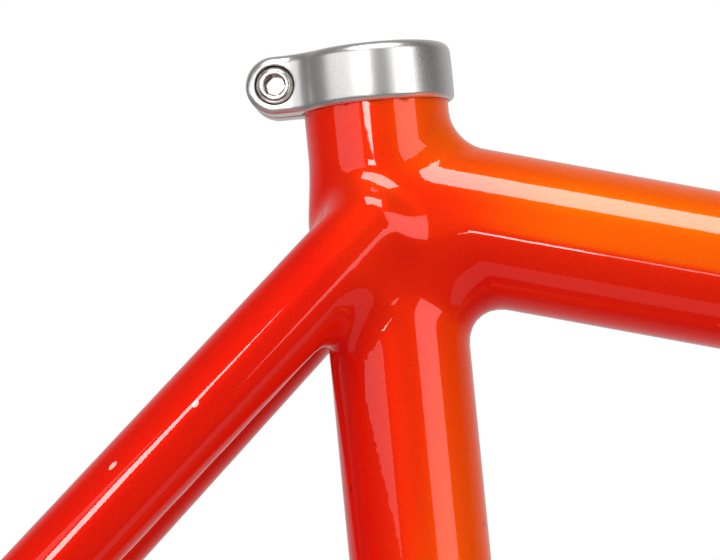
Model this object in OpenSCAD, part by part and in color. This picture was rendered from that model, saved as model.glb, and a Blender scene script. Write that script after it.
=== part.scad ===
// Folding bicycle frame: rear half, front half, two fold hinges with clamps, and the seat clamp.
// Millimetres. Origin at the bottom bracket centre, +X forward, +Y to the rider's left, +Z up.

/* [Frame layout] */
// Angle of the seat tube above the ground, degrees
seat_angle = 73.9; // [71:0.1:76]
// Angle of the head tube above the ground, degrees
head_angle = 73; // [70:0.5:75]
// Bottom bracket centre to the point where the seat tube and top tube axes cross
seat_tube_centre = 500; // [400:1:600]
// Length of the level top tube, axis to axis
top_tube_length = 535; // [440:1:650]
// Bottom bracket centre to rear axle
chain_stay_length = 402; // [398:1:500]
// Height of the rear axle above the bottom bracket
bracket_drop = 65; // [30:1:80]
// Distance between the faces that hold the rear hub
hub_spacing = 130; // [120:1:156]
// Length of the head tube
head_tube_length = 120; // [100:1:180]

/* [Tubes] */
// Outside diameter of the seat tube
seat_tube_od = 31.8; // [28.6:0.1:38.2]
// Diameter of the seatpost
seatpost_d = 27.2; // [22.6:0.1:31.6]
// Outside diameter of the top tube
top_tube_od = 34.9; // [28:0.1:42]
// Outside diameter of the down tube
down_tube_od = 38.1; // [32:0.1:46]
// Wall of the top and down tubes
tube_wall = 1.8; // [1.2:0.1:3]
// Outside diameter of the seat stays
seat_stay_od = 19; // [15:0.5:23]
// Distance from the top tube axis down the seat tube to the seat stay axes
stay_drop = 2.2; // [0:0.1:10]
// Distance of each seat stay axis from the middle, where it joins the seat tube
seat_stay_offset = 13; // [11:0.5:16]
// Outside diameter of the chain stays at the bottom bracket
chain_stay_od = 22; // [18:0.5:26]
// Outside diameter of both stays at the dropouts
stay_tip_od = 15; // [13:0.5:18]
// Outside diameter of the head tube
head_tube_od = 37; // [36:0.5:46]
// Diameter of the seats for the headset cups
headset_d = 34; // [30:0.1:40]
// Diameter of the fork steerer passage
steerer_d = 30.5; // [28:0.5:36]

/* [Bottom bracket and dropouts] */
// Width of the bottom bracket shell
shell_width = 68; // [68:1:73]
// Outside diameter of the shell
shell_od = 42; // [40:0.5:50]
// Diameter of the shell's thread
shell_thread_d = 34.8; // [33:0.1:40]
// Thickness of the dropouts
dropout_t = 7; // [4:0.5:9]
// Width of the axle slots
axle_slot = 10.2; // [9.5:0.1:12]
// Thread of the derailleur hanger
hanger_d = 10; // [8:1:12]

/* [Fold hinges] */
// Distance of the fold plane in front of the bottom bracket
fold_x = 150; // [120:1:180]
// Distance of the fold axis to the left of the frame's middle
fold_y = 32; // [30:0.5:44]
// Thickness of each hinge plate
plate_t = 14; // [12:0.5:20]
// Height of the upper hinge plates
upper_plate_h = 40; // [36:1:54]
// Height of the lower hinge plates
lower_plate_h = 62; // [54:1:80]
// Gap between the closed plates
plate_gap = 0.6; // [0.4:0.1:1]
// Diameter of the hinge pins
pin_d = 8; // [6:0.5:12]
// Radial clearance of the hinge pins in their bushes
pin_clear = 0.04; // [0.02:0.01:0.08]
// Outside diameter of the hinge knuckles
knuckle_d = 18; // [16:0.5:24]

/* [Fold clamps] */
// Diameter of the clamp studs
stud_d = 6; // [5:0.5:8]
// Radial clearance of the clamp plates and levers on the studs
stud_clear = 0.07; // [0.03:0.01:0.1]
// Travel of a clamp plate from closed to released
clamp_travel = 8; // [7.5:0.5:10]
// Height of the clamp plates
clamp_h = 26; // [20:1:32]
// Length of the clamp levers from stud to tip
lever_length = 84; // [60:1:100]

/* [Seat clamp] */
// Height of the seat clamp ring
collar_h = 13.2; // [12:0.1:18]
// Wall of the ring
collar_wall = 1.9; // [1.5:0.1:4]
// Radial clearance of the loose ring on the seat tube
collar_clear = 0.05; // [0.03:0.01:0.1]
// Distance from the seat tube's surface back to the clamp bolt's axis
bolt_gap = 6; // [5.5:0.1:12]
// Distance from the ring's middle to the outer face of an ear
ear_y = 8.5; // [8:0.1:10]
// Height of the neck from the top tube axis to the bottom of the ring
neck_h = 23.2; // [22:0.1:40]
// Diameter of the clamp bolt
bolt_d = 5; // [4:0.5:6]
// Radial clearance of the bolt in its nut
thread_clear = 0.06; // [0.03:0.01:0.1]

/* [Hidden] */
$fn = 72;
up_seat = [-cos(seat_angle), 0, sin(seat_angle)];
up_head = [-cos(head_angle), 0, sin(head_angle)];
node_point = seat_tube_centre * up_seat;
seat_len = seat_tube_centre + neck_h + collar_h;
head_point = [node_point[0] + top_tube_length, 0, node_point[2]];
head_top = head_point + 32 * up_head;
head_low = head_top - head_tube_length * up_head;
down_point = head_low + 33 * up_head;
down_angle = atan2(down_point[2], down_point[0]);
axle = [-sqrt(pow(chain_stay_length, 2) - pow(bracket_drop, 2)), 0, bracket_drop];
seat_r = seat_tube_od / 2;
bolt_back = seat_r + bolt_gap;
top_r = top_tube_od / 2;
down_r = down_tube_od / 2;
bore_r = seatpost_d / 2;
face = hub_spacing / 2;
stay_tip = 42;
stay_point = node_point - stay_drop * up_seat;
stay_run = stay_point - axle;
stay_dir = stay_run / norm(stay_run);
stay_angle = atan2(stay_dir[2], stay_dir[0]);
chain_dir = -axle / norm(axle);
chain_angle = atan2(chain_dir[2], chain_dir[0]);
tip_y = face + dropout_t / 2 - 1.5;
fold_z_top = node_point[2];
fold_z_low = fold_x * tan(down_angle);
pin_r = pin_d / 2;
bush_r = pin_r + 1.2;
knuckle_r = knuckle_d / 2;
rib_y = 31;
rib_in = 9;
rib_end = plate_t - 4;
stud_r = stud_d / 2;
stud_x = -(plate_gap / 2 + rib_end) / 2 - 0.1;
slack = 0.35;
base_t = 7;
washer_t = 1.5;
hub_t = 12;
top_m = upper_plate_h * 0.175;
low_m = lower_plate_h * 0.175;
ear_end_r = collar_h / 2;
ring_r = seat_r + collar_clear + collar_wall;
bolt_r = bolt_d / 2;
head_r = bolt_d * 0.85;
seat_floor = 3.3;
bridge_t = 150;
bottle_low = 180;
bottle_gap = 64;

module place(p, d) {
  translate(p) rotate([0, acos(d[2] / norm(d)), atan2(d[1], d[0])]) children();
}

module rod(a, b, r1, r2, more = 0) {
  place(a, b - a) translate([0, 0, -more]) cylinder(h = norm(b - a) + 2 * more, r1 = r1, r2 = r2);
}

module on_seat(l) {
  translate(l * up_seat) rotate([0, seat_angle - 90, 0]) children();
}

module seat_solid(r) {
  on_seat(0) cylinder(h = seat_len, r = r);
}

module shell_solid(r) {
  rotate([90, 0, 0]) cylinder(h = shell_width, r = r, center = true);
}

module top_solid(r) {
  translate(node_point) rotate([0, 90, 0]) cylinder(h = top_tube_length, r = r);
}

module down_solid(r) {
  rod([0, 0, 0], down_point, r, r);
}

module head_outer() {
  r = head_tube_od / 2;
  rod(head_low, head_top, r, r);
  rod(head_low, head_low + 9 * up_head, r + 1.6, r + 1.6);
  rod(head_top - 9 * up_head, head_top, r + 1.6, r + 1.6);
}

// One seat stay: s is 1 for the left and -1 for the right.
function stay_top(s) = stay_point + [0, s * seat_stay_offset, 0];
function stay_low(s) = axle + stay_tip * stay_dir + [0, s * tip_y, 0];
function stay_at(s, t) = stay_top(s) + t * (stay_low(s) - stay_top(s)) / norm(stay_low(s) - stay_top(s));
function chain_top(s) = [0, s * (shell_width / 2 - chain_stay_od / 2 - 1), 0];
function chain_low(s) = axle + stay_tip * chain_dir + [0, s * tip_y, 0];
function chain_at(s, k) = chain_top(s) + k * (chain_low(s) - chain_top(s));

module seat_stay_solid(s) {
  r = seat_stay_od / 2;
  rod(stay_at(s, 5), stay_at(s, 330), r, r);
  rod(stay_at(s, 330), stay_low(s), r, stay_tip_od / 2);
  translate(stay_at(s, 5)) sphere(r = r);
}

module chain_stay_solid(s) {
  rod(chain_top(s), chain_low(s), chain_stay_od / 2, stay_tip_od / 2);
}

module bar(a, b, w) {
  d = b - a;
  translate(a) rotate(atan2(d[1], d[0])) translate([0, -w / 2]) square([norm(d), w]);
}

module axle_slot_2d() {
  circle(d = axle_slot);
  rotate(-82) translate([0, -axle_slot / 2]) square([40, axle_slot]);
}

hanger_a = 12.6 * [cos(172), sin(172)];
hanger_b = 12.6 * [cos(226), sin(226)];
hanger_c = [-9, -29];

module dropout_2d() {
  arm = stay_tip + 12;
  e1 = [cos(stay_angle), sin(stay_angle)];
  n1 = 6.5 * [-e1[1], e1[0]];
  e2 = [cos(chain_angle), sin(chain_angle)];
  n2 = 6.5 * [-e2[1], e2[0]];
  difference() {
    union() {
      circle(r = 17);
      polygon([
        -n2, arm * e2 - n2, arm * e2 + n2, 26 * e2 + n2, 26 * e1 - n1, arm * e1 - n1, arm * e1 + n1, n1
      ]);
    }
    axle_slot_2d();
  }
}

// A plate with a raised round land that the hub's locknut sits on
module dropout(s) {
  land = 0.5;
  translate([axle[0], s * face + (s > 0 ? dropout_t : 0), axle[2]]) rotate([90, 0, 0]) {
    translate([0, 0, s > 0 ? 0 : land]) linear_extrude(dropout_t - land) dropout_2d();
    translate([0, 0, s > 0 ? dropout_t - land - 1 : 0]) linear_extrude(land + 1) difference() {
      circle(r = 13);
      axle_slot_2d();
    }
  }
}

module hanger_holes(r) {
  for (p = [hanger_a, hanger_b]) translate([p[0], p[1], 0]) cylinder(h = 40, r = r, center = true);
}

// ---- rear half ----

module seat_tube() {
  color("OrangeRed") difference() {
    seat_solid(seat_r);
    shell_solid(shell_od / 2);
    on_seat(seat_len - 200) cylinder(h = 201, r = bore_r);
    on_seat(10) cylinder(h = seat_len, r = bore_r - 0.5);
    on_seat(seat_len - 34) translate([-seat_r - 5, -1, 0]) cube([seat_r + 5, 2, 40]);
    on_seat(seat_len - 34) translate([-seat_r - 5, 0, 0]) rotate([0, 90, 0]) cylinder(h = seat_r, r = 2.5);
    for (k = [0, 1]) on_seat(bottle_low + k * bottle_gap) rotate([0, 90, 0]) cylinder(h = 30, r = 3.5);
  }
}

module bottle_bosses() {
  color("Silver") for (k = [0, 1]) on_seat(bottle_low + k * bottle_gap) rotate([0, 90, 0]) difference() {
    union() {
      translate([0, 0, bore_r + 0.2]) cylinder(h = seat_r - bore_r + 0.3, r = 3.5);
      translate([0, 0, seat_r]) cylinder(h = 1.2, r = 5.2);
    }
    cylinder(h = 40, r = 2.1);
  }
}

module bottom_bracket_shell() {
  color("OrangeRed") difference() {
    shell_solid(shell_od / 2);
    rotate([90, 0, 0]) cylinder(h = shell_width + 2, r = shell_thread_d / 2, center = true);
  }
}

module top_tube_rear() {
  end = fold_x - plate_t;
  color("Orange") difference() {
    translate(node_point) rotate([0, 90, 0]) cylinder(h = end - node_point[0], r = top_r);
    top_solid(top_r - tube_wall);
    seat_solid(seat_r);
  }
}

module down_tube_rear() {
  color("OrangeRed") difference() {
    down_solid(down_r);
    difference() {
      rod([0, 0, 0], down_point, down_r - tube_wall, down_r - tube_wall, 1);
      translate([fold_x - plate_t - tube_wall, -60, -20]) cube([600, 120, 900]);
    }
    shell_solid(shell_od / 2);
    seat_solid(seat_r);
    translate([fold_x - plate_t, -60, -20]) cube([600, 120, 900]);
  }
}

module seat_stay(s) {
  r = seat_stay_od / 2;
  color("Red") difference() {
    seat_stay_solid(s);
    rod(stay_at(s, 18), stay_at(s, 330), r - 1.4, r - 1.4);
    seat_solid(seat_r);
    top_solid(top_r);
    dropout(s);
  }
}

module seat_stay_right() { seat_stay(-1); }

module seat_stay_left() { seat_stay(1); }

module chain_stay(s) {
  color("Red") difference() {
    chain_stay_solid(s);
    rod(chain_top(s), chain_at(s, 0.9), chain_stay_od / 2 - 2, stay_tip_od / 2 - 1.2);
    rotate([90, 0, 0]) cylinder(h = shell_width + 40, r = shell_od / 2, center = true);
    dropout(s);
  }
}

module chain_stay_right() { chain_stay(-1); }

module chain_stay_left() { chain_stay(1); }

module dropout_right() {
  color("Red") difference() {
    dropout(-1);
    translate(axle + [0, -face, 0]) rotate([90, 0, 0]) hanger_holes(1.7);
  }
}

module dropout_left() {
  color("Red") dropout(1);
}

module derailleur_hanger() {
  color("DimGray") translate(axle + [0, -face - dropout_t, 0]) rotate([90, 0, 0]) difference() {
    union() {
      linear_extrude(4) difference() {
        union() {
          for (p = [hanger_a, hanger_b]) translate(p) circle(r = 5.4);
          bar(hanger_a, hanger_b, 9.6);
          bar(hanger_b, hanger_c, 10);
          translate(hanger_c) circle(r = 9.5);
        }
        circle(r = 7.6);
      }
      translate([hanger_c[0], hanger_c[1], 3]) cylinder(h = 4, r = 8.8);
    }
    translate([hanger_c[0], hanger_c[1], -1]) cylinder(h = 20, r = hanger_d / 2);
    for (p = [hanger_a, hanger_b]) translate([p[0], p[1], 0]) {
      translate([0, 0, -1]) cylinder(h = 9, r = 2.15);
      translate([0, 0, 1.75]) cylinder(h = 2.4, r1 = 2, r2 = 4.4);
    }
  }
}

module hanger_bolts() {
  color("Silver") translate(axle + [0, -face - dropout_t, 0]) rotate([90, 0, 0])
    for (p = [hanger_a, hanger_b]) translate([p[0], p[1], 0]) difference() {
      union() {
        translate([0, 0, -6]) cylinder(h = 8.5, r = 1.7);
        translate([0, 0, 2]) cylinder(h = 1.9, r1 = 1.9, r2 = 3.8);
      }
      translate([0, 0, 2.6]) cylinder(h = 3, r = 1.45, $fn = 6);
    }
}

module brake_bridge() {
  p = (stay_at(1, bridge_t) + stay_at(-1, bridge_t)) / 2;
  y = stay_at(1, bridge_t)[1];
  color("Red") difference() {
    translate(p) rotate([90, 0, 0]) union() {
      cylinder(h = 2 * y, r = 7, center = true);
      cylinder(h = 16, r = 8.5, center = true);
    }
    for (s = [-1, 1]) rod(stay_at(s, 5), stay_at(s, 330), seat_stay_od / 2, seat_stay_od / 2);
    translate(p) rotate([0, 90 - stay_angle + 90, 0]) cylinder(h = 40, r = 3.1, center = true);
  }
}

module chain_stay_bridge() {
  p = -axle[0] > 0 ? [-46, 0, 46 * bracket_drop / -axle[0]] : [0, 0, 0];
  color("Red") difference() {
    translate(p) rotate([90, 0, 0]) cylinder(h = shell_width, r = 6, center = true);
    for (s = [-1, 1]) chain_stay_solid(s);
  }
}

// ---- hinge plates: side is -1 for the rear and 1 for the front ----

module knuckle(side, m, kh, bore) {
  for (z = side < 0 ? [[m + 0.3, kh], [-kh, -m - 0.3]] : [[-m, m]]) difference() {
    union() {
      translate([0, fold_y, z[0]]) cylinder(h = z[1] - z[0], r = knuckle_r);
      translate([side < 0 ? -plate_t + 5 : plate_gap / 2, 10, z[0]])
        cube([plate_t - 5 - plate_gap / 2, fold_y - 10, z[1] - z[0]]);
    }
    translate([0, fold_y, z[0] - 1]) cylinder(h = z[1] - z[0] + 2, r = bore);
  }
}

module plate_2d(hh, r) {
  for (k = [-1, 1]) translate([0, k * (hh - r)]) circle(r = r);
  if (hh > r) square([2 * r, 2 * (hh - r)], center = true);
}

module hinge_plate(side, hh, r, m, bore) {
  g = plate_gap / 2;
  difference() {
    union() {
      translate([side < 0 ? -plate_t : g, 0, 0]) rotate([90, 0, 90]) linear_extrude(plate_t - g) plate_2d(hh, r);
      translate([0, 0, -clamp_h / 2]) linear_extrude(clamp_h)
        polygon([
          [side * g, -rib_y], [side * rib_end, -rib_y], [side * plate_t, rib_in - rib_y],
          [side * plate_t, 0], [side * g, 0]
        ]);
      knuckle(side, m, hh, bore);
    }
    translate([-30, 0, 0]) rotate([0, 90, 0]) cylinder(h = 60, r = 6);
    if (side < 0) translate([stud_x, -12, 0]) rotate([90, 0, 0]) cylinder(h = 40, r = stud_r);
    translate([0, fold_y, -hh - 1]) cylinder(h = 2 * hh + 2, r = bore);
  }
}

module at_top() { translate([fold_x, 0, fold_z_top]) children(); }

module at_low() { translate([fold_x, 0, fold_z_low]) children(); }

module upper_hinge_plate_rear() { color("Gray") at_top() hinge_plate(-1, upper_plate_h / 2, 20, top_m, pin_r); }

module lower_hinge_plate_rear() { color("Gray") at_low() hinge_plate(-1, lower_plate_h / 2, 21.5, low_m, pin_r); }

module upper_hinge_plate_front() { color("Gray") at_top() hinge_plate(1, upper_plate_h / 2, 20, top_m, bush_r); }

module lower_hinge_plate_front() { color("Gray") at_low() hinge_plate(1, lower_plate_h / 2, 21.5, low_m, bush_r); }

module hinge_pin(hh) {
  translate([0, fold_y, 0]) difference() {
    union() {
      translate([0, 0, -hh]) cylinder(h = 2 * hh, r = pin_r);
      translate([0, 0, hh]) cylinder(h = 2.4, r = pin_r + 2.6);
      translate([0, 0, hh + 2.4]) cylinder(h = 1, r1 = pin_r + 2.6, r2 = pin_r + 1.2);
    }
    translate([0, 0, hh + 1]) cylinder(h = 4, r = 2.9, $fn = 6);
    translate([0, 0, -hh - 1]) cylinder(h = 15, r = 2.5);
  }
}

module upper_hinge_pin() { color("Silver") at_top() hinge_pin(upper_plate_h / 2); }

module lower_hinge_pin() { color("Silver") at_low() hinge_pin(lower_plate_h / 2); }

module pin_screw(hh) {
  translate([0, fold_y, -hh]) difference() {
    union() {
      cylinder(h = 12, r = 2.5);
      translate([0, 0, -1.6]) cylinder(h = 1.6, r = pin_r + 2.6);
      translate([0, 0, -3.2]) cylinder(h = 1.6, r1 = pin_r + 1.2, r2 = pin_r + 2.6);
    }
    translate([0, 0, -4]) cylinder(h = 3, r = 2, $fn = 6);
  }
}

module hinge_pin_screws() {
  color("Silver") {
    at_top() pin_screw(upper_plate_h / 2);
    at_low() pin_screw(lower_plate_h / 2);
  }
}

module hinge_bush(m) {
  translate([0, fold_y, -m]) difference() {
    cylinder(h = 2 * m, r = bush_r);
    translate([0, 0, -1]) cylinder(h = 2 * m + 2, r = pin_r + pin_clear);
  }
}

module upper_hinge_bush() { color("Goldenrod") at_top() hinge_bush(top_m); }

module lower_hinge_bush() { color("Goldenrod") at_low() hinge_bush(low_m); }

module clamp_stud() {
  out = rib_y + 0.5 + base_t + washer_t + 0.3 + hub_t + clamp_travel;
  translate([stud_x, -12, 0]) rotate([90, 0, 0]) {
    cylinder(h = out - 12 + 2, r = stud_r);
    translate([0, 0, out - 12 + 0.6]) cylinder(h = 1.6, r = stud_r + 1.8);
  }
}

module upper_clamp_stud() { color("Silver") at_top() clamp_stud(); }

module lower_clamp_stud() { color("Silver") at_low() clamp_stud(); }

// ---- clamp plates, washers and levers, drawn released ----

module clamp_plate() {
  inner = rib_y + 0.5;
  outer = inner + base_t;
  tip = rib_y - rib_in + 1.5;
  w0 = rib_end + slack;
  w1 = rib_end + slack + 4 * (rib_y - tip) / rib_in;
  difference() {
    translate([0, -clamp_travel, -clamp_h / 2]) linear_extrude(clamp_h) polygon([
      [-w1 - 5.6, 2 - outer], [-w1 - 3.6, -outer], [w1 + 3.6, -outer], [w1 + 5.6, 2 - outer],
      [w1 + 4.4, -tip], [w1, -tip], [w0, -rib_y], [w0, -inner],
      [-w0, -inner], [-w0, -rib_y], [-w1, -tip], [-w1 - 4.4, -tip]
    ]);
    translate([stud_x, 0, 0]) rotate([90, 0, 0]) cylinder(h = 90, r = stud_r + stud_clear);
  }
}

module clamp_washer() {
  y = rib_y + 0.5 + base_t + clamp_travel;
  translate([stud_x, -y, 0]) rotate([90, 0, 0]) difference() {
    cylinder(h = washer_t, r = stud_r + 4.5);
    translate([0, 0, -1]) cylinder(h = washer_t + 2, r = stud_r + stud_clear);
  }
}

module clamp_lever(angle) {
  y = rib_y + 0.5 + base_t + clamp_travel + washer_t + 0.3;
  translate([stud_x, -y, 0]) rotate([90, 0, 0]) difference() {
    union() {
      cylinder(h = hub_t, r = stud_r + 5.5);
      translate([0, 0, hub_t - 7]) linear_extrude(6) rotate(angle) {
        polygon([[0, -7.5], [lever_length - 6, -5.5], [lever_length - 6, 5.5], [0, 7.5]]);
        translate([lever_length - 6, 0]) circle(r = 5.5);
      }
    }
    translate([0, 0, -1]) cylinder(h = hub_t + 2, r = stud_r + stud_clear);
  }
}

module upper_clamp_plate() { color("DarkGray") at_top() clamp_plate(); }

module lower_clamp_plate() { color("DarkGray") at_low() clamp_plate(); }

module upper_clamp_washer() { color("Silver") at_top() clamp_washer(); }

module lower_clamp_washer() { color("Silver") at_low() clamp_washer(); }

module upper_clamp_lever() { color("DimGray") at_top() clamp_lever(0); }

module lower_clamp_lever() { color("DimGray") at_low() clamp_lever(down_angle); }

// ---- front half ----

module top_tube_front() {
  start = fold_x + plate_t;
  color("Orange") difference() {
    translate([start, 0, node_point[2]]) rotate([0, 90, 0]) cylinder(h = head_point[0] - start, r = top_r);
    translate([start - 1, 0, node_point[2]]) rotate([0, 90, 0])
      cylinder(h = head_point[0] - start, r = top_r - tube_wall);
    head_outer();
  }
}

module down_tube_front() {
  color("OrangeRed") difference() {
    down_solid(down_r);
    difference() {
      rod([0, 0, 0], down_point, down_r - tube_wall, down_r - tube_wall, 1);
      translate([fold_x + plate_t + tube_wall - 600, -60, -200]) cube([600, 120, 900]);
    }
    head_outer();
    top_solid(top_r);
    translate([fold_x + plate_t - 600, -60, -200]) cube([600, 120, 900]);
  }
}

module head_tube() {
  color("Orange") difference() {
    head_outer();
    rod(head_low, head_top, steerer_d / 2, steerer_d / 2, 1);
    rod(head_low - 1 * up_head, head_low + 14 * up_head, headset_d / 2, headset_d / 2);
    rod(head_top - 14 * up_head, head_top + 1 * up_head, headset_d / 2, headset_d / 2);
  }
}

// ---- seat clamp ----

module at_collar() { on_seat(seat_len - collar_h) children(); }

module seat_clamp_ring() {
  r = ring_r;
  h = collar_h;
  ri = seat_r + collar_clear;
  color("LightGray") at_collar() difference() {
    union() {
      rotate_extrude() polygon([
        [ri, 0], [r - 0.4, 0], [r, 0.4], [r + 0.2, 2.5], [r + 0.1, h - 5], [r - 0.1, h - 2.4],
        [r - 0.5, h - 1], [r - 1.2, h - 0.2], [r - 1.5, h], [ri, h]
      ]);
      difference() {
        union() {
          translate([-bolt_back, -ear_y, 0]) cube([bolt_back - 6, 2 * ear_y, h]);
          translate([-bolt_back, ear_y, h / 2]) rotate([90, 0, 0]) cylinder(h = 2 * ear_y, r = ear_end_r);
        }
        translate([0, 0, -1]) cylinder(h = h + 2, r = ri);
      }
    }
    translate([-bolt_back - 20, -1, -1]) cube([bolt_back + 20, 2, h + 2]);
    translate([-bolt_back, 20, h / 2]) rotate([90, 0, 0]) cylinder(h = 40, r = bolt_r + 0.3);
    translate([-bolt_back, -seat_floor, h / 2]) rotate([90, 0, 0]) cylinder(h = 20, r = head_r + 0.25);
    translate([-bolt_back, 20, h / 2]) rotate([90, 0, 0]) cylinder(h = 20 - ear_y + 4.4, r = 4.72, $fn = 6);
  }
}

module at_bolt() { at_collar() translate([-bolt_back, 0, collar_h / 2]) rotate([90, 0, 0]) children(); }

module seat_clamp_washer() {
  color("Silver") at_bolt() translate([0, 0, seat_floor]) difference() {
    cylinder(h = 0.5, r = head_r);
    translate([0, 0, -1]) cylinder(h = 3, r = bolt_r + 0.15);
  }
}

module seat_clamp_bolt() {
  z = seat_floor + 0.5;
  color("Silver") at_bolt() difference() {
    union() {
      translate([0, 0, -8]) cylinder(h = 8 + z + 0.5, r = bolt_r);
      translate([0, 0, z]) cylinder(h = bolt_d * 0.85, r = head_r);
      translate([0, 0, z + bolt_d * 0.85]) cylinder(h = 0.4, r1 = head_r, r2 = head_r - 0.4);
    }
    translate([0, 0, z + bolt_d * 0.43]) cylinder(h = 8, r = bolt_d * 0.462, $fn = 6);
  }
}

module seat_clamp_nut() {
  color("Silver") at_bolt() translate([0, 0, -ear_y + 0.2]) difference() {
    cylinder(h = 4, r = 4.62, $fn = 6);
    translate([0, 0, -1]) cylinder(h = 8, r = bolt_r + thread_clear);
  }
}

seat_tube();
bottle_bosses();
bottom_bracket_shell();
top_tube_rear();
down_tube_rear();
seat_stay_right();
seat_stay_left();
chain_stay_right();
chain_stay_left();
dropout_right();
dropout_left();
derailleur_hanger();
hanger_bolts();
brake_bridge();
chain_stay_bridge();
upper_hinge_plate_rear();
lower_hinge_plate_rear();
upper_hinge_pin();
lower_hinge_pin();
hinge_pin_screws();
upper_clamp_stud();
lower_clamp_stud();
top_tube_front();
down_tube_front();
head_tube();
upper_hinge_plate_front();
lower_hinge_plate_front();
upper_hinge_bush();
lower_hinge_bush();
upper_clamp_plate();
lower_clamp_plate();
upper_clamp_washer();
lower_clamp_washer();
upper_clamp_lever();
lower_clamp_lever();
seat_clamp_ring();
seat_clamp_washer();
seat_clamp_bolt();
seat_clamp_nut();
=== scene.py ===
import math
import bmesh
import bpy
import numpy as np
from mathutils import Matrix, Vector


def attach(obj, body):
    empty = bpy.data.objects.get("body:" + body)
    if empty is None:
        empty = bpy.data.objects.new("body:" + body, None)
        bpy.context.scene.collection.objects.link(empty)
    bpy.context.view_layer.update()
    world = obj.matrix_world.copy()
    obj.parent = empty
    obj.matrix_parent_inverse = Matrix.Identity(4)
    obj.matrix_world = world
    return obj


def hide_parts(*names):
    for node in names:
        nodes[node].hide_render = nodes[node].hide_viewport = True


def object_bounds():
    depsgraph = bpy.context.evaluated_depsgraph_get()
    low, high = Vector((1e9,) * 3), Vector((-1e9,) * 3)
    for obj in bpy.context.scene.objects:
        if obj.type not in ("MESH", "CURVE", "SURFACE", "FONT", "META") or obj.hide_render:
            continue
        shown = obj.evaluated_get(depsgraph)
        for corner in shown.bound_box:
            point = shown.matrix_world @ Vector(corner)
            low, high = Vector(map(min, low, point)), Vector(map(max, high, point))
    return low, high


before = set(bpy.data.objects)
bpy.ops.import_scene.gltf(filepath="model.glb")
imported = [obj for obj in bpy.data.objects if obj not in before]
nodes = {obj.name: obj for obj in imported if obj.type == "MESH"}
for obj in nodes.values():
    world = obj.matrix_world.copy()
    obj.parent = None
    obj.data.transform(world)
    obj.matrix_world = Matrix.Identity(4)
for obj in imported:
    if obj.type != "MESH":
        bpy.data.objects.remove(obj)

cadLow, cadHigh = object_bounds()
scene = bpy.context.scene
print("frame loaded:", len(nodes), "nodes")

# Frame sizes in millimetres and degrees, the same as the CAD's.
frameSizes = {
    "seatAngle": 73.9, "headAngle": 73.0,
    "seatTubeCentre": 500.0, "neckHeight": 23.2, "collarHeight": 13.2,
    "topTubeLength": 535.0, "headTubeLength": 120.0,
    "chainStayLength": 402.0, "axleRise": 65.0, "hubSpacing": 130.0, "dropoutThickness": 7.0,
    "foldX": 150.0, "plateThickness": 14.0,
    "seatTube": 15.9, "seatpost": 13.6, "topTube": 17.45, "downTube": 19.05,
    "seatStay": 9.65, "stayOffset": 13.0, "stayDrop": 2.2, "chainStay": 11.0, "stayTip": 7.5,
    "shell": 21.0, "shellThread": 17.4, "shellWidth": 68.0,
    "headTube": 18.5, "headset": 17.0, "steerer": 15.25,
    "topTubeBelowTop": 32.0, "downTubeAboveLow": 33.0,  # where the tubes meet the head tube's axis
    "taperFrom": 330.0, "tipBack": 42.0,  # the seat stays taper from here down, to short of the axle
    "bridgeDown": 150.0, "bridge": 7.0, "bridgeBoss": 8.5, "bridgeBossHalf": 8.0,
    "lowBridgeBack": 46.0, "lowBridge": 6.0, "lowBridgeHalf": 22.0,
    "tipInset": 1.5,  # a stay's tip stands this far inside the middle of its dropout
}
sizes = frameSizes


def direction(degrees):
    return np.array([-math.cos(math.radians(degrees)), 0.0, math.sin(math.radians(degrees))])


def unit(v):
    return v / np.linalg.norm(v)


upSeat, upHead = direction(sizes["seatAngle"]), direction(sizes["headAngle"])
forwardSeat = np.array([upSeat[2], 0.0, -upSeat[0]])  # forward, square to the seat tube
cluster = sizes["seatTubeCentre"] * upSeat  # where seat tube, top tube and stays meet
seatTop = sizes["seatTubeCentre"] + sizes["neckHeight"] + sizes["collarHeight"]
headPoint = cluster + np.array([sizes["topTubeLength"], 0.0, 0.0])
headTop = headPoint + sizes["topTubeBelowTop"] * upHead
headLow = headTop - sizes["headTubeLength"] * upHead
downPoint = headLow + sizes["downTubeAboveLow"] * upHead
axle = np.array([-math.sqrt(sizes["chainStayLength"] ** 2 - sizes["axleRise"] ** 2), 0.0, sizes["axleRise"]])
stayPoint = cluster - sizes["stayDrop"] * upSeat
stayLine = (stayPoint - axle) / np.linalg.norm(stayPoint - axle)
chainLine = -axle / np.linalg.norm(axle)
tipSide = sizes["hubSpacing"] / 2 + sizes["dropoutThickness"] / 2 - sizes["tipInset"]


def side(y):
    return np.array([0.0, y, 0.0])


# Distances in millimetres, negative inside the metal.

def roundTube(p, a, b, ra, rb=None):
    rb = ra if rb is None else rb
    run = b - a
    length = np.linalg.norm(run)
    t = np.clip((p - a) @ (run / length), 0.0, length)
    q = p - a - t[:, None] * (run / length)
    return np.sqrt((q * q).sum(1)) - (ra + (rb - ra) * t / length)


def flatTube(p, a, b, r):
    run = b - a
    length = np.linalg.norm(run)
    t = (p - a) @ (run / length)
    q = p - a - t[:, None] * (run / length)
    u, v = np.sqrt((q * q).sum(1)) - r, np.abs(t - length / 2) - length / 2
    return np.minimum(np.maximum(u, v), 0) + np.hypot(np.maximum(u, 0), np.maximum(v, 0))


def weld(a, b, r):
    u, v = np.maximum(r - a, 0.0), np.maximum(r - b, 0.0)
    return np.maximum(r, np.minimum(a, b)) - np.sqrt(u * u + v * v)


def carve(a, b, r):
    u, v = np.maximum(r + a, 0.0), np.maximum(r + b, 0.0)
    return np.minimum(-r, np.maximum(a, b)) + np.sqrt(u * u + v * v)


def ease(x, low, high):
    t = np.clip((x - low) / (high - low), 0.0, 1.0)
    return t * t * (3 - 2 * t)


def slope(field, p, h=0.04):
    g = np.empty_like(p)
    for k in range(3):
        step = np.zeros(3)
        step[k] = h
        g[:, k] = (field(p + step) - field(p - step)) / (2 * h)
    return g


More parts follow.
